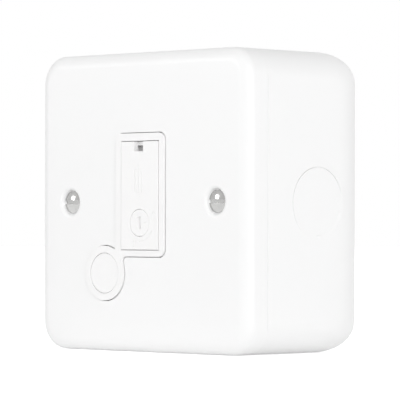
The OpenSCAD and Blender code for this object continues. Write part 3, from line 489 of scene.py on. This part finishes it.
# %% Holes for the inserts, the wall screws and the wall slots
for side in (-1, 1):
    cut(box, rod("insert hole", (side * SCREW_OUT, -32, 0), -10, 2.8))
    cut(box, rod("screw way", (side * SCREW_OUT, -20.85, 0), -12, 1.9, sides=48))
    cut(box, rod("wall hole", (0, 1, side * WALL_HOLE_OUT), -6, 2.3, sides=48))
    middle = side * WALL_SLOT_OUT
    slot = block("wall slot", (middle - 4.3, -4, -2.3), (middle + 4.3, 1, 2.3))
    round_edges(slot, lambda a, b, e: abs(a[1] - b[1]) > 1, 2.299, 12)
    cut(box, slot)


# %% A knock-out's outside line, its ramp and its inside groove, as tools to cut with
def ring_tool(name, radius, width, low, high):
    ring = rod(name, (0, 0, low), high - low, radius, axis="Z", sides=96)
    return cut(ring, rod("core", (0, 0, low - 1), high - low + 2, radius - width, axis="Z", sides=96))


def ramp_tool(inner, outer, depth, start, degrees):
    """Part of a ring at the origin that cuts down from height zero, deeper towards its inner side"""
    bpy.ops.object.select_all(action="DESELECT")
    bpy.ops.mesh.primitive_plane_add(size=1, location=((inner + outer) / 2 * mm, 0, (0.5 - depth) / 2 * mm),
                                     rotation=(math.pi / 2, 0, 0))
    bpy.context.active_object.scale = ((outer - inner) * mm, (0.5 + depth) * mm, 1)
    ramp = settle("ramp")
    use(ramp)
    bpy.ops.object.mode_set(mode="EDIT")
    mesh = bmesh.from_edit_mesh(ramp.data)
    for v in mesh.verts:
        v.select_set(v.co.x > (inner + outer) / 2 * mm and v.co.z < 0)
    bmesh.update_edit_mesh(ramp.data)
    bpy.ops.transform.translate(value=(0, 0, (depth - 0.01) * mm))
    bpy.ops.mesh.select_all(action="SELECT")
    bpy.ops.mesh.spin(steps=round(degrees / 3), angle=math.radians(degrees), center=(0, 0, 0), axis=(0, 0, 1))
    bpy.ops.mesh.select_all(action="SELECT")
    bpy.ops.mesh.remove_doubles(threshold=0.001 * mm)
    bpy.ops.mesh.fill_holes(sides=0)
    bpy.ops.mesh.normals_make_consistent(inside=False)
    leave_edit()
    low_angle = min(math.degrees(math.atan2(v.co.y, v.co.x)) for v in ramp.data.vertices)
    ramp.rotation_euler = (0, 0, math.radians(start - low_angle))
    return settle("ramp")


RAMP = 0.4
LINE_W, LINE_DEPTH, LINE_TILT = 0.2, 0.16, (-0.8, -0.15)
WEB = 0.85


def knockout_tools(radius, wall):
    """The line is tilted a little, so that it fades from the top down"""
    line = ring_tool("line", radius, LINE_W, -LINE_DEPTH, 0.6)
    line.rotation_euler = (*(math.radians(angle) for angle in LINE_TILT), 0)
    use(line)
    settle("line")
    return (line, ramp_tool(radius - 1.4, radius, RAMP, -92, 78),
            ramp_tool(radius - 1.5, radius, RAMP, 0, 12), ring_tool("groove", radius, 1.0, -wall - 1, -WEB))


print("box", len(box.data.polygons), "faces before its knock-outs")



# %% Cut the knock-outs into the four sides and the back
def stand_on(tool, across, up, out, centre):
    """Turns a tool so that its X, Y and Z look along these directions, and moves it to a centre"""
    turn = Matrix([across, up, out]).transposed().to_4x4()
    use(tool)
    tool.matrix_world = Matrix.Translation(Vector(centre) * mm) @ turn
    return settle(tool.name)


BACK, UP, RIGHT = Vector((0, 1, 0)), Vector((0, 0, 1)), Vector((1, 0, 0))
SIDE_R, FLOOR_R = 10.5, 10.0
FORWARD, LOWER = 20.4, 0.5
for out, up in ((RIGHT, UP), (UP, -RIGHT), (-RIGHT, -UP), (-UP, RIGHT)):
    for tool in knockout_tools(SIDE_R, BOX_WALL):
        cut(box, stand_on(tool, BACK, up, out, out * HALF - BACK * FORWARD - up * LOWER))
for tool in knockout_tools(FLOOR_R, BOX_FLOOR):
    cut(box, stand_on(tool, RIGHT, -UP, BACK, (0, 0, 0)))
dress(box, "root", ["back_box"], box_white)

# %% [markdown]
# ## The insert frame
# One moulding: the raised frame, the ring of the flex outlet with its thin disc, a flange behind
# the plate and the well that the fuse carrier slides in.

# %% Frame, flange and well
insert = keyhole("insert_moulding", 0.0, -45.5, FRAME_FACE)
count = round_edges(insert, lambda a, b, e: both_at(a, b, 1, FRAME_FACE) and sharp(e, 60), 0.16, 3)
weld(insert, keyhole("flange", 1.2, -44.8, -46.2))
weld(insert, block("well", (-9.45, -45.5, -15.65), (9.45, -36.65, 19.25)))
cut(insert, block("pocket", (-7.82, -51, -14.05), (7.9, -35, 17.65)))
pocket = round_edges(insert, lambda a, b, e: both_at(a, b, 1, FRAME_FACE) and sharp(e, 60)
                     and abs(a[0]) < 7.95 and abs(b[0]) < 7.95 and a[2] > -14.15, 0.12, 2)
print("frame edge", count, "pocket edge", pocket)

# %% The flex outlet's recess, its way behind, and the keeper of the lock
cut(insert, rod("recess", (OUTLET[0], -49.2, OUTLET[1]), -1.5, DISC_R, sides=96))
cut(insert, rod("way", (OUTLET[0], -44, OUTLET[1]), -3.9, DISC_R - 0.15, sides=96))
groove = rod("groove", (OUTLET[0], -48.7, OUTLET[1]), -1.5, DISC_R, sides=96)
cut(insert, cut(groove, rod("core", (OUTLET[0], -48, OUTLET[1]), -3, DISC_R - 0.15, sides=96)))
round_edges(insert, lambda a, b, e: both_at(a, b, 1, FRAME_FACE) and sharp(e, 60)
            and (Vector((a[0], a[2])) - Vector(OUTLET)).length < DISC_R + 0.05
            and (Vector((b[0], b[2])) - Vector(OUTLET)).length < DISC_R + 0.05, 0.15, 3)
cut(insert, block("keeper", (7.6, -47.75, -7.8), (9.5, -45.35, 0.0)))
dress(insert, "root", ["insert_frame"], insert_white)

# %% [markdown]
# ## The fuse carrier
# A drawer: a face plate with a skirt behind it and a cradle for the fuse. At its top a square
# notch takes the tip of a screwdriver, which goes in under a bar. The symbols are sunk a little.

# %% Face, skirt and cradle
carrier = block("carrier_moulding", (-CARRIER_X, CARRIER_FACE, CARRIER_LOW), (CARRIER_X, -47.5, CARRIER_HIGH))
round_edges(carrier, lambda a, b, e: abs(a[1] - b[1]) > 1, 0.3, 3)
round_edges(carrier, lambda a, b, e: both_at(a, b, 1, CARRIER_FACE) and sharp(e, 60), 0.14, 3)
skirt = block("skirt", (-7.6, -47.6, -13.8), (7.6, -36.9, 17.4))
cut(skirt, block("inside", (-6.3, -47.5, -12.5), (6.3, -36, 16.1)))
weld(carrier, skirt)
weld(carrier, block("cradle", (-6.95, -45.6, -3.2), (6.95, -41.06, 6.8)))
cut(carrier, rod("fuse bed", (0, -42.175, -4.2), 12, 3.225, axis="Z", sides=64))

# %% Notch, lock seat, spindle hole and the cam's way out
weld(carrier, block("notch floor", (-4.0, -47.8, 14.1), (2.2, -45.4, 17.35)))
cut(carrier, block("notch", (-2.25, -50.5, 14.6), (1.52, -47.8, 18)))
cut(carrier, block("way under the bar", (-3.4, -47.81, 14.6), (1.52, -45.9, 16.4)))
cut(carrier, rod("lock seat", (0, -48.25, LOCK[1]), -2, LOCK_R + 0.11, sides=96))
cut(carrier, rod("spindle hole", (0, -46.5, LOCK[1]), -3, 1.95, sides=48))
cut(carrier, block("cam way", (5.3, -47.45, -7.8), (8.6, -45.35, 2.03)))
rim = round_edges(carrier, lambda a, b, e: both_at(a, b, 1, CARRIER_FACE) and sharp(e, 60)
                  and (Vector((a[0], a[2])) - Vector(LOCK)).length < LOCK_R + 0.2, 0.1, 2)
print("lock seat edge", rim)


# %% Tools for symbols: they reach a little way into a face
SUNK, LINE = 0.13, 0.27


def turned(piece, centre, degrees):
    """Turns a piece round an axis along Y, anticlockwise as the front shows it"""
    use(piece)
    place = Vector((centre[0], 0, centre[1])) * mm
    turn = Matrix.Rotation(math.radians(-degrees), 4, "Y")
    piece.matrix_world = Matrix.Translation(place) @ turn @ Matrix.Translation(-place)
    return settle(piece.name)


def bar(face, low, high):
    return block("bar", (low[0], face - 1, low[1]), (high[0], face + SUNK, high[1]))


def arc(face, centre, radius, start, stop):
    """A curved bar, from a start angle up to a stop angle less than half a turn on"""
    ring = rod("arc", (centre[0], face + SUNK, centre[1]), -1 - SUNK, radius + LINE / 2, sides=64)
    core = rod("core", (centre[0], face + 1, centre[1]), -4, radius - LINE / 2, sides=64)
    cut(ring, core)
    for angle in (start - 180, stop):
        half = block("half", (centre[0] - 9, face - 3, centre[1]), (centre[0] + 9, face + 3, centre[1] + 9))
        cut(ring, turned(half, centre, angle))
    return ring


# %% Fuse, open padlock, closed padlock and the arrow between them
MIDDLE = -0.45
cut(carrier, bar(CARRIER_FACE, (MIDDLE - LINE / 2, 1.2), (MIDDLE + LINE / 2, 10.8)))
for side in (-1, 1):
    edge_x = MIDDLE + side * 1.42
    cut(carrier, bar(CARRIER_FACE, (edge_x - LINE / 2, 2.5), (edge_x + LINE / 2, 9.3)))
for z in (2.64, 9.16):
    cut(carrier, bar(CARRIER_FACE, (MIDDLE - 1.42, z - LINE / 2), (MIDDLE + 1.42, z + LINE / 2)))
for x, z, lift in ((5.9, -4.2, 0.75), (-1.75, -11.8, 0.2)):
    cut(carrier, bar(CARRIER_FACE, (x - 0.75, z - 1.25), (x + 0.75, z)))
    cut(carrier, bar(CARRIER_FACE, (x - 0.5 - LINE / 2, z - 0.05), (x - 0.5 + LINE / 2, z + lift + 0.02)))
    if lift < 0.5:
        cut(carrier, bar(CARRIER_FACE, (x + 0.5 - LINE / 2, z - 0.05), (x + 0.5 + LINE / 2, z + lift + 0.02)))
    cut(carrier, arc(CARRIER_FACE, (x, z + lift), 0.5, 0, 180))
cut(carrier, arc(CARRIER_FACE, (0.2, LOCK[1]), 5.45, -92, -25))
dress(carrier, "carrier", ["fuse_carrier"], insert_white)

# %% The lock's disc with its keyway
disc = rod("lock_disc_moulding", (0, -48.3, LOCK[1]), -1.0, LOCK_R, sides=96)
round_edges(disc, lambda a, b, e: both_at(a, b, 1, -49.3) and sharp(e, 60), 0.12, 3)
weld(disc, rod("spindle", (0, -45.85, LOCK[1]), -3, 1.9, sides=48))
for half_w, low_z, high_z in ((0.45, -1.8, 1.8), (0.8, 1.1, 1.8)):
    keyway = block("keyway", (-half_w, -50, LOCK[1] + low_z), (half_w, -48.7, LOCK[1] + high_z))
    cut(disc, turned(keyway, LOCK, 6))
cut(disc, turned(bar(-49.3, (1.2, LOCK[1] - 0.8), (3.0, LOCK[1] - 0.55)), LOCK, 17))
dress(disc, "lock", ["lock_disc"], insert_white)

# %% [markdown]
# ## The plate screws
# Raised countersunk screws in nickel, with painted shade in their colour: a dome, a thin rim, the cone and a
# threaded shank.

# %% Turn a screw and mill its slot
HEAD_R, DOME_H, THREAD_R, CORE_R, PITCH = 3.3, 0.7, 1.7, 1.38, 0.7
SCREW_SLOT = 0.5
DOME_R = (HEAD_R ** 2 + DOME_H ** 2) / (2 * DOME_H)
top, seat = -48.45, -47.45
dome = [(DOME_R * math.sin(t), top + DOME_R * (1 - math.cos(t)))
        for t in [math.asin(HEAD_R / DOME_R) * i / 10 for i in range(11)]]
brim = dome[-1][1]
screw_profile = dome[:-1] + [
    (3.27, brim - 0.02), (HEAD_R, brim + 0.04), (HEAD_R, seat), (THREAD_R, seat + 1.6)]
y = seat + 3.0
while y < -22.6:
    screw_profile += [(THREAD_R, y), (CORE_R, y + 0.3), (THREAD_R, y + 0.6)]
    y += PITCH
screw_profile += [(1.2, -21.9), (0, -21.85)]
for side, name in ((-1, "left"), (1, "right")):
    screw = lathe(f"plate_screw_{name}_turned", screw_profile, (side * SCREW_OUT, 0), steps=64)
    cut(screw, block("slot", (side * SCREW_OUT - 5, -49, -SCREW_SLOT),
                     (side * SCREW_OUT + 5, top + 1.1, SCREW_SLOT)))
    round_edges(screw, lambda a, b, e: sharp(e, 50) and abs(abs(a[2]) - SCREW_SLOT) < 0.01
                and abs(abs(b[2]) - SCREW_SLOT) < 0.01 and a[1] < -47.6 and b[1] < -47.6, 0.2, 3)
    dress(screw, "root", [f"plate_screw_{name}"], bright_steel, smooth=40)

# %% [markdown]
# ## The pieces inside
# They are the right shape already. A copy of each gets its triangles merged into faces, a
# small bevel on its edges, and its material.

# %% Soften a copy of a CAD piece
def soften(node, body, material, edge=0.12):
    use(frame["nodes"][node])
    bpy.ops.object.duplicate()
    piece = bpy.context.active_object
    piece.parent = None
    for key in list(piece.keys()):
        del piece[key]
    piece.name = piece.data.name = node + "_softened"
    use(piece)
    bpy.ops.object.mode_set(mode="EDIT")
    bpy.ops.mesh.select_all(action="SELECT")
    bpy.ops.mesh.remove_doubles(threshold=0.0005 * mm)
    bpy.ops.mesh.dissolve_limited(angle_limit=math.radians(0.5))
    leave_edit()
    change(piece, "BEVEL", width=edge * mm, segments=2, limit_method="ANGLE", angle_limit=math.radians(50))
    return dress(piece, body, [node], material, smooth=40)


# %% Each inner piece with its finish
bodies = {n: b for b, members in frame["record"]["behaviour"]["bodies"].items() for n in members}
slots = {row["node"]: row["material_slot"] for row in frame["record"]["subparts"]}
finishes = {"housing_white": housing_white, "zinc_steel": zinc_steel, "brass": brass,
            "cap_metal": cap_metal, "fuse_ceramic": fuse_ceramic, "bright_steel": bright_steel}
shown = ("front_plate", "back_box", "insert_frame", "fuse_carrier", "lock_disc", "plate_screw_left",
         "plate_screw_right")
for node in sorted(frame["nodes"]):
    if node not in shown:
        soften(node, bodies[node], finishes[slots[node]])

# %% [markdown]
# ## Camera
# The photograph looks at the corner between the face and the right side, almost level, through
# a long lens. The numbers come from a fit to the outline and the two screws.

# %% Place the camera
TARGET, DISTANCE, LENS = (16.46, -41, 0.481), 847.65, 265.42
azimuth, elevation, roll = (math.radians(a) for a in (44.94, -0.595, 0.108))
back = Vector((math.sin(azimuth) * math.cos(elevation), -math.cos(azimuth) * math.cos(elevation),
               math.sin(elevation)))
right = Vector((math.cos(azimuth), math.sin(azimuth), 0))
up = back.cross(right)
right, up = (right * math.cos(roll) + up * math.sin(roll), up * math.cos(roll) - right * math.sin(roll))
camera_data = bpy.data.cameras.new("camera")
camera = bpy.data.objects.new("camera", camera_data)
bpy.context.scene.collection.objects.link(camera)
camera.matrix_world = Matrix.Translation((Vector(TARGET) + back * DISTANCE) * mm) @ Matrix(
    (right, up, back)).transposed().to_4x4()
camera_data.lens = LENS
camera_data.sensor_width = 36
camera_data.clip_start = 0.01
camera_data.clip_end = 30
bpy.context.scene.camera = camera
print("camera", [round(v, 3) for v in camera.location])

# %% [markdown]
# ## Studio
# A pale floor, a white surround and four broad soft lamps. The surround is plain white to
# the camera and in reflections, and a softer grey as a source of light. So is the floor.

# %% Rays by which the floor and the surround are seen: straight, in a reflection or through a piece
def seen_rays(tree):
    path = tree.nodes.new("ShaderNodeLightPath")
    seen = math_node(tree, "MAXIMUM", path.outputs["Is Camera Ray"], path.outputs["Is Glossy Ray"])
    return math_node(tree, "MAXIMUM", seen, path.outputs["Is Transmission Ray"])


FLOOR_LIFT, AMBIENT = 0.7, 0.53

# %% Floor and surround
bpy.ops.object.select_all(action="DESELECT")
bpy.ops.mesh.primitive_plane_add(size=8, location=(0, 0, -HALF * mm - 0.0002))
floor = settle("studio_floor")
floor_white = bpy.data.materials.new("floor white")
floor_white.use_nodes = True
tree = floor_white.node_tree
shader = tree.nodes["Principled BSDF"]
shader.inputs["Base Color"].default_value = (0.96, 0.96, 0.96, 1)
shader.inputs["Roughness"].default_value = 0.8
shader.inputs["Specular IOR Level"].default_value = 0.2
shader.inputs["Emission Color"].default_value = (1, 1, 1, 1)
tree.links.new(math_node(tree, "MULTIPLY", seen_rays(tree), FLOOR_LIFT), shader.inputs["Emission Strength"])
floor.data.materials.append(floor_white)

world = bpy.data.worlds.new("white surround")
bpy.context.scene.world = world
world.use_nodes = True
tree = world.node_tree
surround = tree.nodes["Background"]
surround.inputs["Color"].default_value = (1, 1, 1, 1)
tree.links.new(spread(tree, seen_rays(tree), 0.0, 1.0, AMBIENT, 1.0), surround.inputs["Strength"])


# %% Soft lamps
def lamp(name, place, width, height, power):
    """A lamp in metres and watts that looks at the origin"""
    data = bpy.data.lights.new(name, "AREA")
    data.shape = "RECTANGLE"
    data.size, data.size_y = width, height
    data.energy = power
    made = bpy.data.objects.new(name, data)
    bpy.context.scene.collection.objects.link(made)
    made.location = place
    made.rotation_mode = "QUATERNION"
    made.rotation_quaternion = (-Vector(place)).to_track_quat("-Z", "Y")
    return made


lamp("key panel", (2.1, -2.1, 1.1), 1.25, 1.25, 18)
lamp("low panel", (2.85, -1.33, 0.45), 1.25, 0.8, 27)
lamp("left panel", (-1.9, -2.45, 0.75), 0.7, 0.55, 18.5)
lamp("rear panel", (2.01, 2.4, 0.5), 1.25, 1.0, 5)

# %% Set the view transform and finish
view = bpy.context.scene.view_settings
view.view_transform = "Standard"
